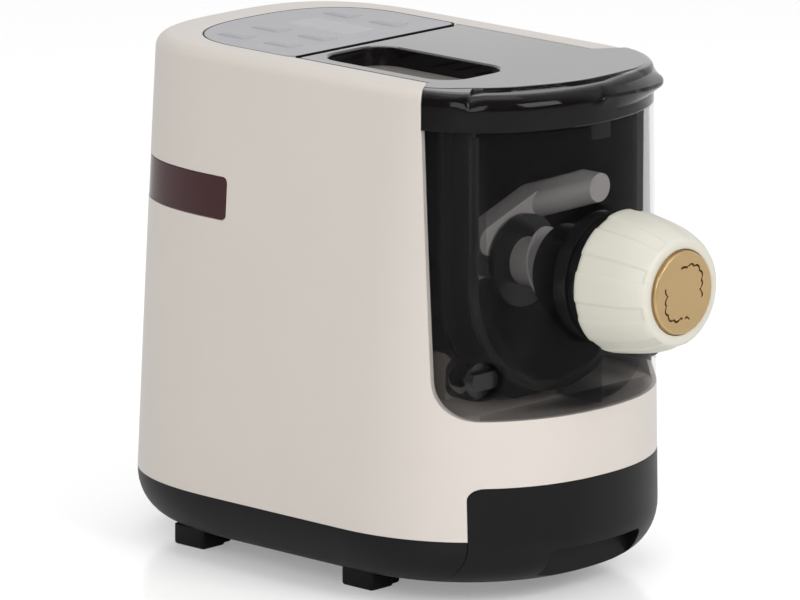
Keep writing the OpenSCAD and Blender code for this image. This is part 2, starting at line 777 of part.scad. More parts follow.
lid_barrel_half = lid_half_w - ledge_w - gap;
module lid_hinge_pin() {
  color(steel) translate([-hinge_pin_half + 0.5, hinge_y, hinge_z]) rotate([0, 90, 0])
    cylinder(h = 2 * hinge_pin_half - 1, r = hinge_pin_r);
}
module lid_latch() {
  // safety hook under the lid's front, which the front cover's pocket receives
  color(smoke) {
    block(latch_x - 20, latch_x + 20, latch_y, latch_y + 9, cover_top + 2, step_z - cover_wall);
    block(latch_x - 8, latch_x + 8, latch_y + 1, latch_y + 8, cover_top - 12, cover_top + 2);
  }
}
latch_x = 10;
latch_y = front_y + 12;

// =================== front cover ===================
module front_cover() {
  color(smoke) difference() {
    union() {
      intersection() {
        difference() {
          body_form(cover_z - 20);
          body_cavity(cover_z - 21, roof_z + 2, cover_wall);
        }
        side_prism(cover_side(gap), body_w);
        block(-body_w, body_w, -body_len, 0, 0, cover_top);
      }
      intersection() {
        body_form(cover_z + gap, cover_wall - 0.2);
        union() {
          // rib that presses the seal against the bowl
          difference() {
            trough(front_y, barrel_in_y, bowl_r + 6, cover_top - 4);
            trough(front_y - 1, barrel_in_y + 1, bowl_r + 3, cover_top + 1);
          }
          // floor flange, and the upright web under the barrel
          intersection() {
            side_prism(cover_side(gap), body_w);
            block(-body_w, body_w, -body_len, edge_y(cover_z) - 20, cover_z + gap, cover_z + gap + 2.5);
          }
          block(-1.2, 1.2, front_y, barrel_in_y - 0.4, cover_z + gap, axis_h - 23);
        }
      }
      for (s = [-1, 1]) rod(knob_y - 3.4, knob_y + 13, knob_r + 2.2, s * knob_x, knob_z);
    }
    rod(front_y - 20, barrel_in_y + 30, barrel_r);
    for (s = [-1, 1]) {
      // a deep socket for the knob, and a hollow sleeve behind its floor
      rod(front_y, knob_y - 0.8, knob_r + 0.3, s * knob_x, knob_z);
      rod(knob_y + 2.2, knob_y + 14, knob_r + 0.3, s * knob_x, knob_z);
      rod(knob_y - 10, knob_y + 10, stem_r + run, s * knob_x, knob_z);
    }
  }
}
barrel_r = collar_r + 3;
module cover_seal() {
  color(black) intersection() {
    difference() {
      trough(barrel_in_y, bowl_front_y - fit, bowl_r + 6, cover_top - 4);
      trough(barrel_in_y - 1, bowl_front_y + 1, bowl_r + 0.5, cover_top + 1);
    }
    body_form(cover_z + gap, cover_wall + fit);
  }
}
module barrel() {
  tip = die_back_y + fit;
  neck_r = bore_r + 2.5;
  sleeve_r = bore_r + 4;
  color(black) translate([0, 0, axis_h]) rotate([-90, 0, 0]) rotate_extrude()
    polygon([[bore_r, tip], [neck_r, tip], [neck_r, collar_y], [collar_r, collar_y], [collar_r, front_y - 3],
      [barrel_r, front_y - 3], [barrel_r, front_y + 6], [sleeve_r, front_y + 6], [sleeve_r, barrel_in_y - 4],
      [bore_r, barrel_in_y - 4]]);
}
module lock_knob(s) {
  color(black) difference() {
    union() {
      rod(knob_y - 7, knob_y - 1, knob_r, s * knob_x, knob_z);
      rod(knob_y - 2, knob_y + 17.5, stem_r, s * knob_x, knob_z);
      rod(knob_y + 11.5, knob_y + 15.5, stem_r + 2.5, s * knob_x, knob_z);
    }
    // hollows above and below leave a grip bar across the knob
    for (t = [-1, 1]) block(s * knob_x - knob_r, s * knob_x + knob_r, knob_y - 8, knob_y - 3,
      knob_z + t * (knob_bar + 3.5) - 3.5, knob_z + t * (knob_bar + 3.5) + 3.5);
  }
}
module lock_knob_left() { lock_knob(-1); }
module lock_knob_right() { lock_knob(1); }

// =================== die holder ===================
function nut_profile() = [[nut_r - 2.5, 0], [nut_r - 0.7, 0.7], [nut_r, 2.5], [nut_r - 0.2, 9], [nut_r - 1.2, 18],
  [nut_r - 3.4, 28], [nut_r - 6.6, 36], [nut_face_r + 2.6, nut_len - 4], [nut_face_r, nut_len - 1.2],
  [nut_face_r - 2.2, nut_len]];
module die_holder() {
  color("#e4e2d6") difference() {
    translate([0, nut_rear_y, axis_h]) rotate([90, 0, 0])
      rotate_extrude() polygon(concat([[0, 0]], nut_profile(), [[0, nut_len]]));
    rod(nut_rear_y - 18, nut_rear_y + 1, collar_r + 0.3);
    rod(nut_front_y + 6, nut_rear_y, bore_r + 3.5 + 0.3);
    rod(nut_front_y + die_t - 5.8, nut_front_y + 14, die_seat_r + 0.3);
    rod(nut_front_y - 1, nut_front_y + 20, die_r + 0.3);
    // shallow flats between the grips
    for (i = [0:nut_grips - 1]) translate([0, nut_rear_y, axis_h]) rotate([0, 360 * i / nut_grips, 0])
      translate([0, 0, nut_r + 17]) rotate([90 + nut_tilt, 0, 0])
        translate([0, 0, -10]) cylinder(h = nut_len + 20, r = 19);
  }
}
nut_tilt = 12;
module die_disc(slots) {
  difference() {
    union() {
      rod(nut_front_y, nut_front_y + 3, die_r);
      rod(nut_front_y + 2.5, nut_front_y + die_t - 0.2, die_seat_r);
    }
    if (slots == "wavy") for (part = wave_parts) translate([0, nut_front_y + die_t + 1, axis_h])
      rotate([90, 0, 0]) linear_extrude(die_t + 2) polygon(wave_slot(part[0], part[1]));
  }
}
wave_parts = [[-24, 98], [153, 275], [282, 292]];
wave_r = 15.5;
wave_swing = 0.9;
function wave(a, side) = (wave_r + side + wave_swing * sin(a * 15)) * [cos(a), sin(a)];
function wave_slot(a0, a1) = let (n = ceil((a1 - a0) / 4)) concat(
  [for (i = [0:n]) wave(a0 + (a1 - a0) * i / n, 0.45)],
  [for (i = [n:-1:0]) wave(a0 + (a1 - a0) * i / n, -0.45)]);
module die() {
  color(brass) die_disc("wavy");
}

// =================== mixer ===================
module bar(a, b) {
  hull() for (p = [a, b]) translate(p) rotate([90, 0, 0]) cylinder(h = 14, r = 8.5, center = true, $fn = 32);
}
// One arm of the paddle: a rounded blade from the hub towards the bowl's wall
module arm(turn, y_root, y_tip) {
  rotate([0, turn, 0]) hull() {
    translate([0, y_root, 12]) rotate([90, 0, 0]) cylinder(h = 22, r = 7, center = true, $fn = 32);
    translate([12, (y_root + y_tip) / 2, 34]) rotate([90, 0, 0]) cylinder(h = 18, r = 7, center = true, $fn = 32);
    translate([0, y_tip, 52]) rotate([90, 0, 0]) cylinder(h = 14, r = 6.5, center = true, $fn = 32);
  }
}
module mixing_paddle() {
  color("#c9c6c4") difference() {
    union() {
      rod(-66, coupling_y0 + 26, mixer_hub_r);
      translate([0, 0, axis_h]) {
        block(-8, 8, -64, -50, 0, 26);
        bar([-24, -57, 14], [20, -57, 30]);
        bar([20, -57, 30], [35, -88, 41]);
        arm(200, -12, -30);
        arm(110, 14, 4);
      }
    }
    rod(coupling_y0 - 1, coupling_y0 + 40, shaft_r + 2);
  }
}
module drive_coupling() {
  color(black) {
    difference() {
      rod(coupling_y0 + 0.5, coupling_y0 + 25, shaft_r + 2);
      rod(coupling_y0, coupling_y0 + 30, shaft_r);
    }
    tube(-70, -66, 27, 8);
  }
}
module auger() {
  y0 = -180;
  y1 = -66;
  color("#c9c6c4") {
    rod(y0, y1, 8);
    rod(-92, -70, 14);
    translate([0, -76, axis_h]) rotate([90, 0, 0])
      linear_extrude(-76 - y0, twist = -360 * (-76 - y0) / auger_pitch, slices = 84, segments = 4)
        translate([0, -3]) square([bore_r - 0.5, 6]);
  }
}

// =================== drawer ===================
module drawer() {
  w = runner_x;
  color(black) difference() {
    intersection() {
      lower_form(0, drawer_top + 6);
      union() {
        // curved front, flush with the base and the housing
        drawer_front_prism(0);
        block(-w, w, front_y, drawer_rear_y, drawer_floor, drawer_box_top);
      }
    }
    intersection() {
      lower_form(drawer_wall, drawer_top + 20);
      union() {
        for (s = [-1, 1]) block(s * (w + body_w) / 2 - (body_w - w) / 2, s * (w + body_w) / 2 + (body_w - w) / 2,
          -body_len, drawer_rear_y + 1, 0, drawer_top + 20);
        block(drawer_wall - w, w - drawer_wall, grip_y + drawer_wall, drawer_rear_y - drawer_wall,
          drawer_floor + drawer_wall, drawer_top + 20);
        block(drawer_wall - w, w - drawer_wall, -body_len, drawer_rear_y - drawer_wall,
          grip_top + drawer_wall, drawer_top + 20);
      }
    }
    block(-grip_half_w, grip_half_w, front_y - 5, grip_y, foot_h - 1, grip_top);
  }
}
drawer_wall = 2.4;
grip_y = front_y + 17;
drawer_floor = foot_h + wall + fit;
drawer_box_top = 62;
module spare_die(y) {
  translate([0, y, drawer_floor + drawer_wall + 0.1]) difference() {
    union() {
      cylinder(h = 3, r = die_seat_r);
      cylinder(h = die_t, r = die_r);
    }
    children();
  }
}
module spare_die_lasagne() {
  color(brass) spare_die(-74) for (y = [-5, 5]) translate([-16, y - 0.8, -1]) cube([32, 1.6, die_t + 2]);
}
module spare_die_spaghetti() {
  color(brass) spare_die(-17) {
    for (i = [0:11]) rotate(30 * i) translate([16, 0, -1]) cylinder(h = die_t + 2, r = 1.2);
    for (i = [0:5]) rotate(60 * i) translate([8, 0, -1]) cylinder(h = die_t + 2, r = 1.2);
  }
}

housing();
base_pan();
feet();
control_panel();
display_lens();
side_band();
bay_floor();
bulkhead();
bowl();
bowl_seal();
gearbox_case();
gearbox_cover();
shaft_bearings();
idler_shaft();
motor_can();
motor_end_bells();
motor_stator();
motor_cradle();
power_board();
display_board();
power_inlet();
lid_switch();
base_screws();
gearbox_screws();
lid();
lid_hinge_pin();
lid_latch();
drawer();
spare_die_lasagne();
spare_die_spaghetti();
front_cover();
cover_seal();
barrel();
lock_knob_left();
lock_knob_right();
die_holder();
die();
mixing_paddle();
auger();
drive_coupling();
output_shaft();
output_gear();
idler_gear();
motor_rotor();
motor_pinion();
motor_fan();
key_power();
key_start();
key_menu();
key_water();
key_time();
key_speed();
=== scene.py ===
"""Looks of the electric pasta maker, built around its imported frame.

Shapes are worked out in millimetres in the frame's own axes (+Z up, the front is -Y),
and turned into metres when an object is made.
"""
from math import asin, atan, ceil, cos, pi, radians, sin, sqrt

import bmesh
import bpy
from mathutils import Matrix, Vector


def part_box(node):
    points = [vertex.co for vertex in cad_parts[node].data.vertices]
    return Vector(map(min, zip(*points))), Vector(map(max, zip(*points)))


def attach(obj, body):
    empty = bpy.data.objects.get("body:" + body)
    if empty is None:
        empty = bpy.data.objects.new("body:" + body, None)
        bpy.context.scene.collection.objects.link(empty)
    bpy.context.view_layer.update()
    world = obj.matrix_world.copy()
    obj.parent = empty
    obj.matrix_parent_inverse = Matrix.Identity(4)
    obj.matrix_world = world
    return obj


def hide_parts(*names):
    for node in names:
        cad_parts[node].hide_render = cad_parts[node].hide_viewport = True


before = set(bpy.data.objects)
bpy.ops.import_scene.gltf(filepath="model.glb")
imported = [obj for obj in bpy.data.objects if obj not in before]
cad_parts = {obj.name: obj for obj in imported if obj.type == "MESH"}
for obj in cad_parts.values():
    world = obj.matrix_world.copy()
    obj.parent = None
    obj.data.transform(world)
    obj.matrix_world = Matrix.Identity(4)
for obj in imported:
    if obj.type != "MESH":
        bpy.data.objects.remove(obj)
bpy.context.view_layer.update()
MM = 0.001

# ---------------------------------------------------------------- sizes, as in the frame
BODY_W, BODY_LEN, BODY_H, SEAM_H = 214.0, 324.0, 300.0, 41.0
SIDE_LEAN, REAR_LEAN = 17.0, 14.0
FRONT_DEPTH, FRONT_DEPTH_TOP, REAR_DEPTH, REAR_DEPTH_TOP = 107.0, 79.0, 119.0, 99.0
FRONT_FULL, REAR_FULL, REAR_FULL_TOP = 2.2, 2.6, 3.0
TOP_ROUND, WALL, ROOF = 8.0, 2.8, 6.5
FOOT_H, TUCK = 12.0, 24.0
COVER_Z, COVER_TOP, EDGE_Y, EDGE_SLOPE, CORNER_R = 111.0, 277.0, -69.5, 0.067, 24.0
COVER_WALL, GAP, FIT = 2.6, 0.4, 0.2
AXIS_H, REACH = 188.0, 61.0
REAR_Y = (BODY_LEN + REACH) / 2
FRONT_Y = REAR_Y - BODY_LEN
NUT_FRONT_Y = FRONT_Y - REACH
HINGE_Y, HINGE_R = 45.0, 4.4
HINGE_Z = BODY_H - HINGE_R
LID_HALF, STEP_H = 68.6, 3.4
STEP_Z = BODY_H - STEP_H
RECESS_REAR = HINGE_Y + HINGE_R + GAP
PANEL_HALF, PANEL_T = 70.0, 1.6
DRAWER_HALF, DRAWER_TOP, DRAWER_DEEP = 80.0, 71.8, 70.0
POUR = (-59.0, -6.0, -64.0, 41.0)
POUR_DEPTH = 12.0
BAND_Z0, BAND_Z1, BAND_FRONT = 204.0, 228.4, 77.8
RIM_END = EDGE_Y + 12.5
OUTLINE_STEPS = 88


# ---------------------------------------------------------------- outline of the body
def rise(z):
    return (z - SEAM_H) / (BODY_H - SEAM_H)


def between(a, b, z):
    return a + (b - a) * rise(z)


def half_w(z):
    return BODY_W / 2 - SIDE_LEAN * rise(z)


def power(v, n):
    return (1 if v >= 0 else -1) * abs(v) ** (2 / n)


def outline(z, inset=0.0):
    """Points of the body at height z, moved in by inset, counter-clockwise from +X."""
    w = half_w(z) - inset
    fd = between(FRONT_DEPTH, FRONT_DEPTH_TOP, z)
    rd = between(REAR_DEPTH, REAR_DEPTH_TOP, z)
    fc = FRONT_Y + 2 * rise(z) + fd
    rc = REAR_Y - REAR_LEAN * rise(z) - rd
    rn = between(REAR_FULL, REAR_FULL_TOP, z)
    fd -= inset
    rd -= inset
    points = []
    for i in range(OUTLINE_STEPS + 1):
        t = pi * i / OUTLINE_STEPS
        points.append((w * power(cos(t), rn), rc + rd * abs(sin(t)) ** (2 / rn)))
    for i in range(OUTLINE_STEPS + 1):
        t = pi * i / OUTLINE_STEPS
        points.append((-w * power(cos(t), FRONT_FULL), fc - fd * abs(sin(t)) ** (2 / FRONT_FULL)))
    return points


def edge_y(z):
    return EDGE_Y - EDGE_SLOPE * (BODY_H - z)


def ring(n, r, a0, a1, x=0.0, y=0.0):
    return [(x + r * cos(radians(a0 + (a1 - a0) * i / n)), y + r * sin(radians(a0 + (a1 - a0) * i / n)))
            for i in range(n + 1)]


def rounded(x0, x1, y0, y1, r, n=8):
    return (ring(n, r, 0, 90, x1 - r, y1 - r) + ring(n, r, 90, 180, x0 + r, y1 - r)
            + ring(n, r, 180, 270, x0 + r, y0 + r) + ring(n, r, 270, 360, x1 - r, y0 + r))


def cover_side(g):
    """Side view of the front cover as [y, z], drawn in by g from the housing's edge."""
    grow = sqrt(1 + EDGE_SLOPE ** 2)
    cz = COVER_Z + CORNER_R
    cy = edge_y(cz) - CORNER_R * grow
    return ([(edge_y(BODY_H + 20) - g * grow, BODY_H + 20)]
            + ring(16, CORNER_R - g, -atan(EDGE_SLOPE) * 180 / pi, -90, cy, cz)
            + [(FRONT_Y - 90, COVER_Z + g), (FRONT_Y - 90, BODY_H + 20)])


def lid_front(g):
    """Top view of where the lid's front meets the housing."""
    w = half_w(BODY_H)
    return [(-LID_HALF - 0.5, RIM_END - g), (LID_HALF + 0.5, RIM_END - g), (w - 1.5, EDGE_Y - 1 - g),
            (w + 40, EDGE_Y - 30 - g), (w + 40, FRONT_Y - 60), (-w - 40, FRONT_Y - 60),
            (-w - 40, EDGE_Y - 30 - g), (1.5 - w, EDGE_Y - 1 - g)]


def panel_shape(g, front):
    """Top view of the panel, drawn in by g, its front edge set back that far from the lid's recess."""
    r, curve = 6.0, 60.0
    y0 = RECESS_REAR + front
    y1 = REAR_Y - REAR_LEAN - 26.5
    side = PANEL_HALF - g
    back = []
    for i in range(49):
        t = pi * i / 48
        y = y1 - curve + (curve - g) * abs(sin(t)) ** (2 / REAR_FULL)
        back.append((side * power(cos(t), REAR_FULL), y))
    return ring(6, r, 180, 270, r - side, y0 + g + r) + ring(6, r, 270, 360, side - r, y0 + g + r) + back


# ---------------------------------------------------------------- mesh tools, in millimetres
def raw(name, verts, faces):
    mesh = bpy.data.meshes.new(name)
    mesh.from_pydata(verts, [], faces)
    mesh.validate()
    bm = bmesh.new()
    bm.from_mesh(mesh)
    bmesh.ops.remove_doubles(bm, verts=bm.verts, dist=0.0005)
    bmesh.ops.recalc_face_normals(bm, faces=bm.faces)
    bm.to_mesh(mesh)
    bm.free()
    obj = bpy.data.objects.new(name, mesh)
    bpy.context.collection.objects.link(obj)
    return obj


def stack(name, rings):
    """Closed solid from rings with the same number of points."""
    n = len(rings[0])
    verts = [p for r in rings for p in r]
    faces = [list(range(n))[::-1], [(len(rings) - 1) * n + i for i in range(n)]]
    for k in range(len(rings) - 1):
        for i in range(n):
            j = (i + 1) % n
            faces.append([k * n + i, k * n + j, (k + 1) * n + j, (k + 1) * n + i])
    return raw(name, verts, faces)


def prism(name, points, lo, hi, axis):
    """Extrudes a flat outline along X (points are y, z), Y (x, z) or Z (x, y)."""
    place = {"X": lambda p, h: (h, p[0], p[1]), "Y": lambda p, h: (p[0], h, p[1]),
             "Z": lambda p, h: (p[0], p[1], h)}[axis]
    return stack(name, [[place(p, h) for p in points] for h in (lo, hi)])


def block(x0, x1, y0, y1, z0, z1):
    return prism("cut", [(x0, y0), (x1, y0), (x1, y1), (x0, y1)], z0, z1, "Z")


def rod(y0, y1, r, x=0.0, z=AXIS_H, n=64):
    return prism("cut", ring(n, r, 0, 360, x, z)[:-1], y0, y1, "Y")


def cut(obj, tool, op="DIFFERENCE"):
    """Applies one exact boolean and removes its tool."""
    mod = obj.modifiers.new("b", "BOOLEAN")
    mod.solver = "EXACT"
    mod.operation = op
    mod.object = tool
    deps = bpy.context.evaluated_depsgraph_get()
    mesh = bpy.data.meshes.new_from_object(obj.evaluated_get(deps))
    obj.modifiers.clear()
    old = obj.data
    obj.data = mesh
    bpy.data.meshes.remove(old)
    bpy.data.objects.remove(tool)
    return obj


def body_solid(name, z0, inset=0.0, z1=None):
    """The tapered body with its rounded top, or straight up to z1."""
    levels = []
    top = BODY_H - TOP_ROUND if z1 is None else z1
    for i in range(13):
        z = z0 + (top - z0) * i / 12
        levels.append((z, inset))
    if z1 is None:
        for i in range(1, 11):
            a = pi / 2 * i / 10
            r = TOP_ROUND - inset
            levels.append((top + r * sin(a), inset + r * (1 - cos(a))))
    return stack(name, [[(x, y, z) for x, y in outline(z, g)] for z, g in levels])


def lower_solid(name, inset, z1):
    levels = []
    for i in range(13):
        u = 1 - cos(pi / 2 * i / 12)
        tuck = TUCK * (1 - sqrt(max(0.0, 1 - (1 - u) ** 2)))
        levels.append((FOOT_H + inset + (SEAM_H - FOOT_H - inset) * u, inset + tuck))
    if z1 > SEAM_H:
        levels += [(SEAM_H + (z1 - SEAM_H) * k / 2, inset) for k in (1, 2)]
    return stack(name, [[(x, y, z) for x, y in outline(z, g)] for z, g in levels])


def smooth(obj, angle=32.0):
    obj.data.shade_smooth()
    obj.data.set_sharp_from_angle(angle=radians(angle))


def piece(obj, name, body, mat, replaces=(), angle=32.0):
    """Names, scales, shades and registers one finished piece."""
    obj.name = name
    obj.data.name = name
    obj.data.transform(Matrix.Scale(MM, 4))
    obj.data.materials.clear()
    obj.data.materials.append(mat)
    smooth(obj, angle)
    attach(obj, body)
    if replaces:
        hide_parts(*replaces)


# ---------------------------------------------------------------- materials
def material(name, color, rough, metallic=0.0, grain=(900.0, 0.02), tone=0.03, edge=0.4,
             wear=(60.0, 0.05), coat=0.0, alpha=1.0, spec=0.5, stretch=None, coat_ior=1.5):
    """Plastic or metal: tone varies slowly, roughness in patches, and the grain is a fine bump."""
    mat = bpy.data.materials.new(name)
    mat.use_nodes = True
    nt = mat.node_tree
    nodes, links = nt.nodes, nt.links
    bsdf = nodes["Principled BSDF"]
    bsdf.inputs["Metallic"].default_value = metallic
    bsdf.inputs["Specular IOR Level"].default_value = spec
    bsdf.inputs["Coat Weight"].default_value = coat
    bsdf.inputs["Coat Roughness"].default_value = 0.05
    bsdf.inputs["Coat IOR"].default_value = coat_ior
    bsdf.inputs["Alpha"].default_value = alpha
    coord = nodes.new("ShaderNodeTexCoord")
    source = coord.outputs["Object"]
    if stretch:
        mapping = nodes.new("ShaderNodeMapping")
        mapping.inputs["Scale"].default_value = stretch
        links.new(source, mapping.inputs["Vector"])
        source = mapping.outputs["Vector"]

    def noise(scale, detail=2.0):
        n = nodes.new("ShaderNodeTexNoise")
        n.inputs["Scale"].default_value = scale
        n.inputs["Detail"].default_value = detail
        links.new(source, n.inputs["Vector"])
        return n.outputs["Fac"]

    ramp = nodes.new("ShaderNodeValToRGB")
    ramp.color_ramp.elements[0].position = 0.3
    ramp.color_ramp.elements[1].position = 0.7
    for k, e in zip((1 - tone, 1 + tone), ramp.color_ramp.elements):
        e.color = (*[min(1.0, c * k) for c in color], 1)
    links.new(noise(14.0, 4.0), ramp.inputs["Fac"])
    links.new(ramp.outputs["Color"], bsdf.inputs["Base Color"])
    span = nodes.new("ShaderNodeMapRange")
    span.inputs["To Min"].default_value = max(0.02, rough - wear[1])
    span.inputs["To Max"].default_value = rough + wear[1]
    links.new(noise(wear[0], 5.0), span.inputs["Value"])
    links.new(span.outputs["Result"], bsdf.inputs["Roughness"])
    bump = nodes.new("ShaderNodeBump")
    bump.inputs["Strength"].default_value = grain[1]
    bump.inputs["Distance"].default_value = 0.0004
    links.new(noise(grain[0]), bump.inputs["Height"])
    if edge:
        bevel = nodes.new("ShaderNodeBevel")
        bevel.samples = 4
        bevel.inputs["Radius"].default_value = edge * MM
        links.new(bevel.outputs["Normal"], bump.inputs["Normal"])
    links.new(bump.outputs["Normal"], bsdf.inputs["Normal"])
    return mat


WHITE = material("white_satin", (0.655, 0.602, 0.552), 0.33, coat=0.2, grain=(1400, 0.03), tone=0.008,
                 edge=0.5)
BLACK = material("black_satin", (0.0085, 0.0085, 0.009), 0.38, grain=(1600, 0.1), tone=0.1, edge=0.5,
                 spec=0.16)
INNER_BLACK = material("black_gloss", (0.010, 0.010, 0.010), 0.25, grain=(900, 0.03), tone=0.1, edge=0.4,
                       spec=0.3)
GREY = material("panel_grey", (0.36, 0.36, 0.385), 0.34, coat=0.2, grain=(1800, 0.1), tone=0.01, edge=0.3)
LENS = material("display_window", (0.355, 0.355, 0.38), 0.26, coat=0.3, tone=0.01, edge=0.1)
SMOKE = material("smoked_clear", (0.010, 0.0085, 0.009), 0.05, coat=1.0, coat_ior=1.32, grain=(300, 0.004),
                 edge=0.4, alpha=0.14, spec=0.12, wear=(30, 0.02))
SMOKE_LID = material("smoked_lid", (0.007, 0.006, 0.0065), 0.07, coat=1.0, coat_ior=1.2, grain=(300, 0.004),
                     edge=0.4, alpha=0.82, spec=0.12, wear=(30, 0.02))
SMOKE_SOCKET = material("smoked_socket", (0.007, 0.006, 0.0065), 0.2, coat=0.4, coat_ior=1.2,
                        grain=(300, 0.004), edge=0.2, alpha=0.72, spec=0.1, wear=(30, 0.02))
SMOKE_PLATE = material("smoked_plate", (0.012, 0.012, 0.013), 0.08, coat=1.0, coat_ior=1.75,
                       grain=(300, 0.004), edge=0.3, alpha=0.92, wear=(30, 0.02))
SMOKE_FLOOR = material("smoked_pale", (0.26, 0.24, 0.23), 0.3, coat=0.5, grain=(300, 0.01), edge=0.3)
GLOSS = material("gloss_black", (0.05, 0.016, 0.018), 0.1, grain=(400, 0.005), edge=0.4, spec=0.3)
RUBBER = material("black_rubber", (0.012, 0.012, 0.012), 0.65, grain=(1100, 0.1), tone=0.15)
IVORY = material("ivory_satin", (0.64, 0.623, 0.54), 0.42, grain=(1500, 0.04), tone=0.01, edge=0.6)
PADDLE = material("mixer_plastic", (0.42, 0.40, 0.39), 0.4, grain=(1500, 0.03), tone=0.02, edge=0.6)
BRASS = material("brass_satin", (0.60, 0.42, 0.21), 0.34, metallic=0.9, grain=(2600, 0.25), tone=0.05,
                 edge=0.25)
STEEL = material("turned_steel", (0.55, 0.55, 0.57), 0.3, metallic=1.0, grain=(700, 0.08), stretch=(1, 12, 1))
CAST = material("cast_alloy", (0.42, 0.42, 0.43), 0.5, metallic=0.9, grain=(900, 0.3), tone=0.08)
COPPER = material("copper_winding", (0.62, 0.28, 0.14), 0.35, metallic=1.0, grain=(500, 0.4),
                  stretch=(1, 25, 1))
BOARD = material("circuit_board", (0.03, 0.14, 0.06), 0.35, grain=(500, 0.1), tone=0.15)
NYLON = material("nylon_gear", (0.66, 0.60, 0.42), 0.45, grain=(1200, 0.05))

KEYS = ["key_power", "key_start", "key_menu", "key_water", "key_time", "key_speed"]
NODE_LOOKS = {
    WHITE: ["housing", "bay_floor"],
    BLACK: ["base_pan", "feet", "drawer", "power_inlet"],
    INNER_BLACK: ["lock_knob_left", "lock_knob_right", "bulkhead", "bowl", "barrel", "drive_coupling",
                  "motor_end_bells", "motor_fan", "lid_switch"],
    GREY: ["control_panel"] + KEYS,
    LENS: ["display_lens"],
    SMOKE: ["front_cover"],
    SMOKE_LID: ["lid", "lid_latch"],
    GLOSS: ["side_band"],
    RUBBER: ["bowl_seal", "cover_seal"],
    IVORY: ["die_holder"],
    PADDLE: ["mixing_paddle", "auger"],
    BRASS: ["die", "spare_die_lasagne", "spare_die_spaghetti"],
    STEEL: ["shaft_bearings", "idler_shaft", "motor_can", "motor_cradle", "base_screws", "gearbox_screws",
            "lid_hinge_pin", "output_shaft", "idler_gear", "motor_rotor", "motor_pinion"],
    CAST: ["gearbox_case", "gearbox_cover"],
    COPPER: ["motor_stator"],
    BOARD: ["power_board", "display_board"],
    NYLON: ["output_gear"],
}
for look, names in NODE_LOOKS.items():
    for name in names:
        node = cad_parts[name]
        node.data.materials.clear()
        node.data.materials.append(look)
        smooth(node)


# ---------------------------------------------------------------- housing
def drawer_prism(g):
    w = DRAWER_HALF + g
    return prism("cut", rounded(-w, w, FOOT_H - 20, DRAWER_TOP + g, 7), FRONT_Y - 20,
                 FRONT_Y + DRAWER_DEEP + g, "Y")


HINGE_CUT = 6.0
INLET_HALF, INLET_Z0, INLET_Z1 = 15, 54, 80
VENTS, VENT_PITCH, VENT_W, VENT_Z0, VENT_Z1 = 9, 9, 4, 110, 144

housing = body_solid("housing_shell", SEAM_H)
cavity = stack("cut", [[(x, y, z) for x, y in outline(z, WALL)] for z in (SEAM_H - 5, BODY_H - ROOF)])
cut(housing, cavity)
cut(housing, prism("cut", cover_side(0), -BODY_W, BODY_W, "X"))
cut(housing, prism("cut", lid_front(0), COVER_TOP, BODY_H + 30, "Z"))
cut(housing, block(-LID_HALF - 0.5, LID_HALF + 0.5, FRONT_Y, RECESS_REAR, STEP_Z - FIT, BODY_H + 9))
cut(housing, block(2.6 - LID_HALF, LID_HALF - 2.6, FRONT_Y, RECESS_REAR - 0.01, BODY_H - 20, BODY_H + 8))
cut(housing, block(-LID_HALF - 0.45, LID_HALF + 0.45, HINGE_Y - HINGE_CUT, RECESS_REAR - 0.005,
                   BODY_H - ROOF - 1, BODY_H + 7))
cut(housing, prism("cut", panel_shape(0, -0.5), BODY_H - PANEL_T, BODY_H + 9, "Z"))
cut(housing, drawer_prism(GAP))
bed = rounded(BAND_FRONT - 0.5, 300, BAND_Z0 - 0.5, BAND_Z1 + 0.5, 3.5)
band_bed = prism("cut", bed, -BODY_W, BODY_W, "X")
cut(band_bed, body_solid("cut", SEAM_H, 1.6))
cut(housing, band_bed)
cut(housing, block(-INLET_HALF, INLET_HALF, 0, REAR_Y + 5, INLET_Z0, INLET_Z1))
for i in range(VENTS):
    x = VENT_PITCH * (i - (VENTS - 1) // 2) - VENT_W // 2
    cut(housing, prism("cut", rounded(x, x + VENT_W, VENT_Z0, VENT_Z1, 1.9, 4), 100, REAR_Y + 5, "Y"))
piece(housing, "housing_shell", "machine", WHITE, ["housing"])

# ---------------------------------------------------------------- front cover
BARREL_R, KNOB_Y, KNOB_R = 37.5, -99.5, 10.5
KNOB_Z = COVER_Z + CORNER_R
KNOB_X = half_w(KNOB_Z) - 27.8
KNOB_SEAT, KNOB_CLEAR, SLEEVE_WALL, SPINDLE_R = 0.8, 0.3, 2.2, 4.05
RIB_Y = -95.0
BOWL_R = 66.0
INNER_WALL = COVER_WALL + 0.05


def trough(y0, y1, r, top):
    """Round bottom and straight sides around the mixing axis."""
    return prism("cut", [(r, top)] + ring(48, r, 0, -180, 0, AXIS_H) + [(-r, top)], y0, y1, "Y")


def in_cover(shape, inset):
    """Keeps what lies inside the cover's wall."""
    cut(shape, stack("cut", [[(x, y, z) for x, y in outline(z, inset)] for z in (COVER_Z + GAP, BODY_H - 9)]),
        "INTERSECT")
    cut(shape, prism("cut", cover_side(GAP), -BODY_W, BODY_W, "X"), "INTERSECT")


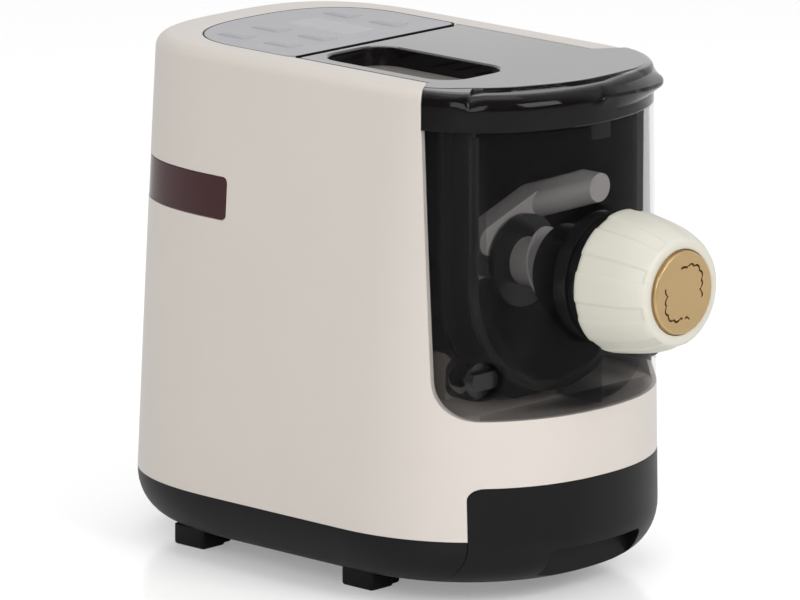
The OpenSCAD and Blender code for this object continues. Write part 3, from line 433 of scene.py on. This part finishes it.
cover = body_solid("front_cover_shell", COVER_Z - 5)
cut(cover, stack("cut", [[(x, y, z) for x, y in outline(z, COVER_WALL)] for z in (COVER_Z - 9, BODY_H - 4)]))
cut(cover, prism("cut", cover_side(GAP), -BODY_W, BODY_W, "X"), "INTERSECT")
cut(cover, block(-BODY_W, BODY_W, -BODY_LEN, 0, 0, COVER_TOP), "INTERSECT")
cut(cover, rod(FRONT_Y - 20, RIB_Y + 30, BARREL_R, n=96))
for s in (-1, 1):
    cut(cover, rod(FRONT_Y - 20, KNOB_Y - KNOB_SEAT, KNOB_R + KNOB_CLEAR, s * KNOB_X, KNOB_Z))
piece(cover, "front_cover_shell", "front_cover", SMOKE, ["front_cover"])
for s in (-1, 1):
    sleeve = rod(KNOB_Y - 30, KNOB_Y + 13, KNOB_R + SLEEVE_WALL, s * KNOB_X, KNOB_Z)
    cut(sleeve, rod(KNOB_Y - 40, KNOB_Y - KNOB_SEAT, KNOB_R + KNOB_CLEAR, s * KNOB_X, KNOB_Z))
    cut(sleeve, rod(KNOB_Y + 2.2, KNOB_Y + 20, KNOB_R + KNOB_CLEAR, s * KNOB_X, KNOB_Z))
    cut(sleeve, rod(KNOB_Y - 9, KNOB_Y + 9, SPINDLE_R, s * KNOB_X, KNOB_Z, 32))
    in_cover(sleeve, INNER_WALL)
    side = "left" if s < 0 else "right"
    piece(sleeve, "knob_socket_" + side, "front_cover", SMOKE_SOCKET)
rib = trough(FRONT_Y - 9, RIB_Y, BOWL_R + 6, COVER_TOP - 4)
cut(rib, trough(FRONT_Y - 20, RIB_Y + 5, BOWL_R + 3, COVER_TOP + 9))
in_cover(rib, INNER_WALL)
piece(rib, "cover_rib", "front_cover", SMOKE)
flange = block(-BODY_W, BODY_W, -BODY_LEN, edge_y(COVER_Z) - 20, COVER_Z + GAP, COVER_Z + GAP + 2.5)
in_cover(flange, INNER_WALL)
piece(flange, "cover_foot", "front_cover", SMOKE)
web = block(-1.2, 1.2, FRONT_Y - 9, RIB_Y - 0.4, COVER_Z + GAP + 2.6, AXIS_H - 38)
in_cover(web, INNER_WALL)
piece(web, "cover_web", "front_cover", SMOKE)

# ---------------------------------------------------------------- lid
NOTCH_X, LEDGE_DROP, LID_WALL = -76.0, 1.7, 2.6
CUP_SLOTS, CUP_PITCH, CUP_START, CUP_HALF_X, CUP_HALF_Y = 4, 16, 28, 13, 3
# measured (x, inset of the plate's edge from the body's outline), then (x, reach of the lip past it)
PLATE_EDGE = [(-91, 8), (-88, 11.3), (-79.6, 17.6), (-70.7, 18.7), (-60.6, 19.4), (-41, 19.8), (-20, 17.8),
              (-1, 15.3), (21, 13.7), (40, 10.6), (50, 7.4), (60, 5.1), (81, 3.2), (92, 3.0)]
LIP = [(-14, 0), (-4, 0.3), (3, 1.6), (11, 3.1), (22.7, 5.0), (35, 7.4), (46.7, 8.3), (58.6, 5.6),
       (67.3, 2.3), (74, 0.3), (78, 0)]
LIP_TOP, LIP_BOTTOM, LIP_ROOT = 293.2, 290.7, 296.0


def slope(table, k):
    if k in (0, len(table) - 1):
        return 0.0
    return (table[k + 1][1] - table[k - 1][1]) / (table[k + 1][0] - table[k - 1][0])


def along(table, x):
    """Smooth value from a short table of (x, value)."""
    if x <= table[0][0]:
        return table[0][1]
    for k in range(len(table) - 1):
        (x0, v0), (x1, v1) = table[k], table[k + 1]
        if x <= x1:
            u = (x - x0) / (x1 - x0)
            turn = (u * (1 - u) ** 2 * slope(table, k) - u * u * (1 - u) * slope(table, k + 1)) * (x1 - x0)
            return v0 + (v1 - v0) * u * u * (3 - 2 * u) + turn
    return table[-1][1]


def drop_at(x):
    """How far the ledge lies below the plate: least left of the notch, and most in it."""
    if x < NOTCH_X - 1:
        return 0.25
    rest = LEDGE_DROP * (1 - max(0.0, min(1.0, (x - 15) / 45)))
    return max(0.25, rest + 0.8 * max(0.0, 1 - (x - NOTCH_X) / 5))


def lid_levels(x, front):
    """Section of the lid's rim from the skirt's foot to the plate, as [inset, z]."""
    edge = along(PLATE_EDGE, x)
    drop = drop_at(x) if front else 0.25
    lip = max(0.0, along(LIP, x)) if front and -14 < x < 78 else 0.0
    share = min(1.0, lip / 1.5)
    lip = max(lip, 1.5)
    bite = 1.6 * max(0.0, 1 - abs(x - NOTCH_X) / 3.5) if front else 0.0
    r = min(TOP_ROUND, edge - 0.6)
    top = BODY_H - drop
    foot = top - r
    low = asin(max(0.0, min(1.0, (LIP_ROOT - foot) / r)))
    out = [(0.5 - lip, LIP_BOTTOM - 0.3), (-lip, LIP_BOTTOM + 0.6), (-lip, LIP_TOP - 0.7),
           (0.5 - lip, LIP_TOP)]
    plain = [(0.0, 284 + (foot - 284) * k / 4.5) for k in range(1, 5)]
    for k in range(9):
        for points, start in ((out, low), (plain, 0.0)):
            a = start + (pi / 2 - start) * k / 8
            z = foot + r * sin(a)
            points.append((r * (1 - cos(a)) + bite * min(1.0, max(0.0, (z - 291) / 5)), z))
    points = [(0.5, COVER_TOP + GAP), (0.0, COVER_TOP + GAP + 0.6), (0.0, 284.0)]
    points += [(q[0] + (p[0] - q[0]) * share, q[1] + (p[1] - q[1]) * share) for p, q in zip(out, plain)]
    points += [(edge - 0.25, top), (edge, top + 0.12 * drop), (edge, BODY_H - 0.12 * drop),
               (edge + 0.15, BODY_H - 0.05), (edge + 0.5, BODY_H), (edge + 1.1, BODY_H)]
    return points


STATIONS = 150


def lid_station(i, inset, z):
    """Point i of the lid's outline: the front half first, then the rear half."""
    w = half_w(z) - inset
    if i <= STATIONS:
        fd = between(FRONT_DEPTH, FRONT_DEPTH_TOP, z)
        t = pi * i / STATIONS
        y = FRONT_Y + 2 * rise(z) + fd - (fd - inset) * abs(sin(t)) ** (2 / FRONT_FULL)
        return -w * power(cos(t), FRONT_FULL), y, z
    return (w, 30.0, z) if i == STATIONS + 1 else (-w, 30.0, z)


def lid_rings():
    sections = []
    for i in range(STATIONS + 3):
        x = lid_station(i, 0, BODY_H)[0]
        sections.append(lid_levels(x, i <= STATIONS))
    return [[lid_station(i, *sections[i][k]) for i in range(STATIONS + 3)]
            for k in range(len(sections[0]))]


def lid_hollow():
    levels = [(COVER_TOP - 5, LID_WALL), (BODY_H - 14, LID_WALL), (BODY_H - 8, LID_WALL + 1.2),
              (BODY_H - 6.2, LID_WALL + 4)]
    return stack("cut", [[lid_station(i, g, z) for i in range(STATIONS + 3)] for z, g in levels])


def pour_outline(g):
    return rounded(POUR[0] + g, POUR[1] - g, POUR[2] + g, POUR[3] - g, 17 - g, 10)


def cut_slots(obj):
    """Cuts the slots through the floor of the pouring cup."""
    x = (POUR[0] + POUR[1]) / 2
    for i in range(CUP_SLOTS):
        y = POUR[2] + CUP_START + CUP_PITCH * i
        slot = rounded(x - CUP_HALF_X, x + CUP_HALF_X, y - CUP_HALF_Y, y + CUP_HALF_Y, 2.9, 5)
        cut(obj, prism("cut", slot, BODY_H - POUR_DEPTH - 9, BODY_H - 5, "Z"))


lid = stack("lid_shell", lid_rings())
cut(lid, lid_hollow())
cut(lid, prism("cut", lid_front(GAP), COVER_TOP - 9, BODY_H + 9, "Z"), "INTERSECT")
rear = stack("cut", [[(x, y, z) for x, y in ((g - LID_HALF, RIM_END - 8), (LID_HALF - g, RIM_END - 8),
                                            (LID_HALF - g, HINGE_Y), (g - LID_HALF, HINGE_Y))]
                     for z, g in ((STEP_Z, 0.0), (BODY_H - 1.1, 0.0), (BODY_H - 0.4, 0.3), (BODY_H, 1.1))])
cut(lid, rear, "UNION")
knuckle = prism("cut", ring(32, HINGE_R, 0, 360, HINGE_Y, HINGE_Z)[:-1], 3.0 - LID_HALF, LID_HALF - 3.0, "X")
cut(lid, knuckle, "UNION")
cut(lid, prism("cut", pour_outline(-2.0), BODY_H - POUR_DEPTH - 2, BODY_H - 1, "Z"), "UNION")
cut(lid, prism("cut", pour_outline(0), BODY_H - POUR_DEPTH, BODY_H + 3, "Z"))
CUP_RIM = ((0.0, BODY_H - 1.2), (-0.35, BODY_H - 0.6), (-1.2, BODY_H + 0.01), (-1.4, BODY_H + 2))
cut(lid, stack("cut", [[(x, y, z) for x, y in pour_outline(g)] for g, z in CUP_RIM]))
cut_slots(lid)
plate = lid.copy()
plate.data = lid.data.copy()
bpy.context.collection.objects.link(plate)
cut(plate, block(-BODY_W, BODY_W, -BODY_LEN, BODY_LEN, BODY_H - 1, BODY_H + 9), "INTERSECT")
cut(lid, block(-BODY_W, BODY_W, -BODY_LEN, BODY_LEN, BODY_H - 1, BODY_H + 9))
piece(lid, "lid_shell", "lid", SMOKE_LID, ["lid"], angle=21)
piece(plate, "lid_plate", "lid", SMOKE_PLATE, angle=16)
tray = prism("cut", pour_outline(0.3), BODY_H - POUR_DEPTH - 0.1, BODY_H - POUR_DEPTH + 0.6, "Z")
cut_slots(tray)
piece(tray, "pour_tray", "lid", SMOKE_FLOOR)

# ---------------------------------------------------------------- die holder and die
NUT_LEN, GRIPS, GROOVE_DEG, GROOVE_DEPTH, FIRST_GROOVE = 47.0, 9, 15.0, 0.9, 196
NUT_REAR = NUT_FRONT_Y + NUT_LEN
FACE_Y = NUT_FRONT_Y + 2.3
# measured (distance from the nut's rear face, radius)
NUT_PROFILE = [(-1.9, 35.0), (-1.9, 38.8), (-1.5, 40.2), (-0.4, 41.1), (2.0, 41.3), (6.0, 40.9),
               (10.5, 40.3), (16.5, 39.4), (22.5, 38.4), (28.5, 37.1), (33.0, 35.7), (37.5, 34.0),
               (40.5, 32.6), (42.6, 31.2), (43.5, 30.2), (43.9, 29.2), (44.0, 28.2), (44.0, 25.4),
               (43.6, 24.9), (38.0, 24.7)]


def groove(angle, depth_along):
    """Depth of the shallow grooves between the grips, soft at their sides and front ends."""
    pitch = 360 / GRIPS
    off = abs((angle - FIRST_GROOVE + pitch / 2) % pitch - pitch / 2)
    side = max(0.0, min(1.0, (GROOVE_DEG / 2 + 0.9 - off) / 1.8))
    fade = max(0.0, min(1.0, (43.2 - depth_along) / 2.6))
    return GROOVE_DEPTH * side * side * (3 - 2 * side) * fade * fade * (3 - 2 * fade)


def turned(profile, y_of, shape=None, steps=360):
    """Rings about the mixing axis from (distance, radius) points, less what shape takes off."""
    rings = []
    for d, r in profile:
        row = []
        for i in range(steps):
            a = 360 * i / steps
            rr = r - (shape(a, d) if shape else 0.0)
            row.append((rr * cos(radians(a)), y_of(d), AXIS_H + rr * sin(radians(a))))
        rings.append(row)
    return rings


def smooth_profile(points, per=4):
    """Passes a smooth curve through profile points."""
    out = []
    last = len(points) - 1
    for k in range(last):
        p0, p1, p2, p3 = points[max(k - 1, 0)], points[k], points[k + 1], points[min(k + 2, last)]
        for j in range(per):
            u = j / per
            out.append(tuple(0.5 * (2 * b + (c - a) * u + (2 * a - 5 * b + 4 * c - d) * u * u
                                    + (3 * b - a - 3 * c + d) * u ** 3)
                             for a, b, c, d in zip(p0, p1, p2, p3)))
    return out + [points[-1]]


def nut_shape(angle, d):
    return groove(angle, d) if -1.7 < d < 43.4 else 0.0


outside = [NUT_PROFILE[1]] + smooth_profile(NUT_PROFILE[2:14], 5) + NUT_PROFILE[14:]
nut = stack("nut", turned(outside, lambda d: NUT_REAR - d, nut_shape))
bore = [(-3.0, 34.8), (17.8, 34.8), (17.8, 25.8), (39.0, 25.8), (39.0, 24.6), (60.0, 24.6)]
cut(nut, stack("cut", turned(bore, lambda d: NUT_REAR - d, steps=96)))
piece(nut, "nut_shell", "die_holder", IVORY, ["die_holder"], angle=40)

DIE_R, SLOT_R, SLOT_W = 24.0, 14.0, 1.3
SLOT_PARTS = [(-17, 100), (164, 266), (274, 287)]


def scallop(a, side):
    """A rounded square of bumps outwards that meet in narrow valleys."""
    r = SLOT_R - 0.6 + 3.6 * abs(sin(radians(a) * 2)) ** 1.3 + 1.4 * abs(sin(radians(a) * 9)) ** 0.8 + side
    return r * cos(radians(a)), AXIS_H + r * sin(radians(a))


def slot_outline(a0, a1):
    n = ceil((a1 - a0) / 1.5)
    angles = [a0 + (a1 - a0) * i / n for i in range(n + 1)]
    return [scallop(a, SLOT_W / 2) for a in angles] + [scallop(a, -SLOT_W / 2) for a in angles[::-1]]


die_profile = [(0.0, DIE_R - 0.9), (0.25, DIE_R - 0.5), (0.75, DIE_R - 0.12), (1.3, DIE_R), (2.7, DIE_R),
               (2.7, DIE_R + 0.4), (3.2, DIE_R + 0.4), (3.2, DIE_R - 0.1), (5.5, DIE_R - 0.1)]
disc = stack("die", turned(die_profile, lambda d: FACE_Y - 1.4 + d, steps=180))
for a0, a1 in SLOT_PARTS:
    cut(disc, prism("cut", slot_outline(a0, a1), FACE_Y - 9, FACE_Y + 2.6, "Y"))
piece(disc, "die_disc", "die_holder", BRASS, ["die"], angle=30)

# ---------------------------------------------------------------- base and drawer front
RUNNER_X, DRAWER_LEN, DRAWER_WALL, GRIP_HALF, GRIP_TOP = DRAWER_HALF - 6, 145.0, 2.4, 38.0, 33.0
DRAWER_REAR, DRAWER_FLOOR, GRIP_Y = FRONT_Y + DRAWER_LEN, FOOT_H + WALL + FIT, FRONT_Y + 17
FOOT_X, FOOT_Y = 72.0, (-16.6, 119.9)

base = lower_solid("base_shell", 0.0, SEAM_H)
cut(base, lower_solid("cut", WALL, SEAM_H + 4))
cut(base, drawer_prism(GAP))
for s in (-1, 1):
    lo, hi = sorted((s * (RUNNER_X + FIT), s * (RUNNER_X + FIT + 3)))
    rail = block(lo, hi, FRONT_Y + DRAWER_DEEP + 2, DRAWER_REAR + 4, FOOT_H + WALL - 1, SEAM_H - 2)
    cut(base, rail, "UNION")
piece(base, "base_shell", "machine", BLACK, ["base_pan"], angle=40)

drawer = drawer_prism(0)
cut(drawer, block(-RUNNER_X, RUNNER_X, FRONT_Y, DRAWER_REAR, DRAWER_FLOOR, 62), "UNION")
cut(drawer, lower_solid("cut", 0.0, DRAWER_TOP + 6), "INTERSECT")
room = block(DRAWER_WALL - RUNNER_X, RUNNER_X - DRAWER_WALL, GRIP_Y + DRAWER_WALL, DRAWER_REAR - DRAWER_WALL,
             DRAWER_FLOOR + DRAWER_WALL, 100)
cut(room, block(DRAWER_WALL - RUNNER_X, RUNNER_X - DRAWER_WALL, -BODY_LEN, DRAWER_REAR - DRAWER_WALL,
                GRIP_TOP + DRAWER_WALL, 100), "UNION")
for lo, hi in ((-BODY_W, -RUNNER_X), (RUNNER_X, BODY_W)):
    cut(room, block(lo, hi, -BODY_LEN, DRAWER_REAR + 1, 0, 100), "UNION")
cut(room, lower_solid("cut", DRAWER_WALL, DRAWER_TOP + 20), "INTERSECT")
cut(drawer, room)
cut(drawer, prism("cut", rounded(-GRIP_HALF, GRIP_HALF, -20, GRIP_TOP, 4), FRONT_Y - 5, GRIP_Y, "Y"))
piece(drawer, "drawer_shell", "drawer", BLACK, ["drawer"], angle=40)


def pad(x0, x1, y0, y1, z0):
    """One moulded foot block with a softened lower rim."""
    levels = [(z0, 1.4), (z0 + 0.4, 0.6), (z0 + 1.4, 0.0), (FOOT_H, 0.0)]
    return stack("cut", [[(x, y, z) for x, y in rounded(x0 + g, x1 - g, y0 + g, y1 - g, 2.6 - g)]
                         for z, g in levels])


feet = None
for s in (-1, 1):
    for y in FOOT_Y:
        lo, hi = sorted((s * (FOOT_X + 13), s * (FOOT_X - 6)))
        foot = pad(lo, hi, y - 12.5, y + 12.5, 0.0)
        lo, hi = sorted((s * (FOOT_X - 5), s * (FOOT_X - 13)))
        cut(foot, pad(lo, hi, y - 11, y + 12.5, 0.6), "UNION")
        lo, hi = sorted((s * (FOOT_X - 7), s * (FOOT_X - 4)))
        cut(foot, block(lo, hi, y - 9, y + 11, 1.5, FOOT_H), "UNION")
        feet = cut(feet, foot, "UNION") if feet else foot
piece(feet, "foot_pads", "machine", BLACK, ["feet"])

# ---------------------------------------------------------------- side band and keys
band = prism("cut", rounded(BAND_FRONT, 300, BAND_Z0, BAND_Z1, 3.3), -BODY_W, BODY_W, "X")
cut(band, body_solid("cut", SEAM_H, 0.12), "INTERSECT")
cut(band, body_solid("cut", SEAM_H, 1.4))
piece(band, "band_inlay", "machine", GLOSS, ["side_band"])


# how far each level of a key lies below its top, and how far its outline is drawn in there
KEY_LEVELS = ((3.0, 0.0), (1.35, 0.0), (1.0, 0.3), (0.6, 1.0), (0.25, 2.2), (0.05, 3.6), (0, 5.0))


def key_outline(x, y, g):
    return rounded(x - 6 + g, x + 6 - g, y - 11 + g, y + 11 - g, min(2.3, 5.8 - g), 6)


panel = prism("cut", panel_shape(1.0, 0.05), BODY_H - PANEL_T, BODY_H, "Z")
for name in KEYS:
    lo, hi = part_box(name)
    x, y = (lo[0] + hi[0]) / 2 / MM, (lo[1] + hi[1]) / 2 / MM
    cut(panel, prism("cut", key_outline(x, y, -FIT), BODY_H - 9, BODY_H + 9, "Z"))
    top = hi[2] / MM
    key = stack("cut", [[(px, py, top - drop) for px, py in key_outline(x, y, g)] for drop, g in KEY_LEVELS])
    cut(key, prism("cut", ring(24, 2.0, 0, 360, x, y)[:-1], lo[2] / MM, top - 2, "Z"), "UNION")
    piece(key, name.replace("key_", "key_pad_"), name, GREY, [name], angle=60)
lo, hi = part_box("display_lens")
window = rounded(lo[0] / MM - 0.05, hi[0] / MM + 0.05, lo[1] / MM - 0.05, hi[1] / MM + 0.05, 1.5)
cut(panel, prism("cut", window, BODY_H - 9, BODY_H + 9, "Z"))
# a thin black ring round the panel's edge is painted shade: it stands in for the shadow in the narrow gap
# around the panel
gap_shade = prism("cut", panel_shape(0.02, 0.05), BODY_H - PANEL_T, BODY_H + 0.03, "Z")
cut(gap_shade, prism("cut", panel_shape(0.6, 0.03), BODY_H - 9, BODY_H + 9, "Z"))
piece(panel, "panel_plate", "machine", GREY, ["control_panel"])
piece(gap_shade, "panel_gap_shade", "machine", BLACK)

# ---------------------------------------------------------------- floor, light and camera
AZIMUTH, ELEVATION, ROLL = radians(46.368), radians(12.920), radians(0.091)
CAMERA_AT = (-3695.39, -3493.10, 1319.85)
FOCAL, SENSOR = 405.0, 36.0
FLOOR_HALF = 6000
world = bpy.data.worlds.new("studio")
bpy.context.scene.world = world
world.use_nodes = True
wn, wl = world.node_tree.nodes, world.node_tree.links


def backdrop(strength):
    node = wn.new("ShaderNodeBackground")
    node.inputs["Strength"].default_value = strength
    return node


def world_mix(fac, low, high):
    node = wn.new("ShaderNodeMixShader")
    wl.new(fac, node.inputs[0])
    wl.new(low, node.inputs[1])
    wl.new(high, node.inputs[2])
    return node.outputs["Shader"]


soft, white, dark = backdrop(0.72), backdrop(1.0), backdrop(0.06)
rays = wn.new("ShaderNodeLightPath")
coord = wn.new("ShaderNodeTexCoord")
away = wn.new("ShaderNodeVectorMath")
away.operation = "DOT_PRODUCT"
away.inputs[1].default_value = (sin(AZIMUTH), cos(AZIMUTH), 0.25)
wl.new(coord.outputs["Generated"], away.inputs[0])
fade = wn.new("ShaderNodeMapRange")
fade.interpolation_type = "SMOOTHSTEP"
fade.inputs["From Min"].default_value = -0.25
fade.inputs["From Max"].default_value = 0.35
wl.new(away.outputs["Value"], fade.inputs["Value"])
mirrored = world_mix(fade.outputs["Result"], dark.outputs["Background"], white.outputs["Background"])
shiny = wn.new("ShaderNodeMath")
shiny.operation = "MAXIMUM"
wl.new(rays.outputs["Is Glossy Ray"], shiny.inputs[0])
wl.new(rays.outputs["Is Transmission Ray"], shiny.inputs[1])
seen = world_mix(shiny.outputs["Value"], soft.outputs["Background"], mirrored)
seen = world_mix(rays.outputs["Is Camera Ray"], seen, white.outputs["Background"])
wl.new(seen, wn["World Output"].inputs["Surface"])

corners = [(-FLOOR_HALF, -FLOOR_HALF, 0), (FLOOR_HALF, -FLOOR_HALF, 0), (FLOOR_HALF, FLOOR_HALF, 0),
           (-FLOOR_HALF, FLOOR_HALF, 0)]
floor = raw("floor", corners, [[0, 1, 2, 3]])
floor.data.transform(Matrix.Scale(MM, 4))
floor_mat = bpy.data.materials.new("pale_floor")
floor_mat.use_nodes = True
fn, fl = floor_mat.node_tree.nodes, floor_mat.node_tree.links
paper = fn["Principled BSDF"]
paper.inputs["Base Color"].default_value = (0.96, 0.96, 0.96, 1)
paper.inputs["Roughness"].default_value = 0.16
glow = fn.new("ShaderNodeEmission")
glow.inputs["Strength"].default_value = 0.26
floor_rays = fn.new("ShaderNodeLightPath")
dim = fn.new("ShaderNodeMixShader")
fl.new(floor_rays.outputs["Is Camera Ray"], dim.inputs[0])
fl.new(glow.outputs["Emission"], dim.inputs[2])
both = fn.new("ShaderNodeAddShader")
fl.new(paper.outputs["BSDF"], both.inputs[0])
fl.new(dim.outputs["Shader"], both.inputs[1])
fl.new(both.outputs["Shader"], fn["Material Output"].inputs["Surface"])
floor.data.materials.append(floor_mat)


def lamp(name, place, aim, size, watts):
    data = bpy.data.lights.new(name, "AREA")
    data.shape = "RECTANGLE"
    data.size, data.size_y = size, size
    data.energy = watts
    obj = bpy.data.objects.new(name, data)
    bpy.context.collection.objects.link(obj)
    obj.location = place
    obj.rotation_euler = (Vector(aim) - Vector(place)).to_track_quat("-Z", "Y").to_euler()


lamp("key", (0.1, -1.95, 1.3), (0, -0.05, 0.15), 1.1, 20)
lamp("fill", (-1.75, -0.95, 1.05), (0, 0, 0.15), 1.2, 15.5)
lamp("top", (0.2, 0.4, 2.1), (0, 0, 0.3), 1.2, 5)

t, e, roll = AZIMUTH, ELEVATION, ROLL
back = Vector((-sin(t) * cos(e), -cos(t) * cos(e), sin(e)))
right = Vector((cos(t), -sin(t), 0))
up = back.cross(right)
right, up = cos(roll) * right + sin(roll) * up, -sin(roll) * right + cos(roll) * up
camera = bpy.data.objects.new("camera", bpy.data.cameras.new("camera"))
bpy.context.collection.objects.link(camera)
facing = Matrix((right, up, back)).transposed().to_4x4()
camera.matrix_world = Matrix.Translation(Vector(CAMERA_AT) * MM) @ facing
camera.data.lens = FOCAL
camera.data.sensor_width = SENSOR
camera.data.clip_end = 50
bpy.context.scene.camera = camera
bpy.context.scene.view_settings.view_transform = "Standard"

bpy.context.view_layer.update()
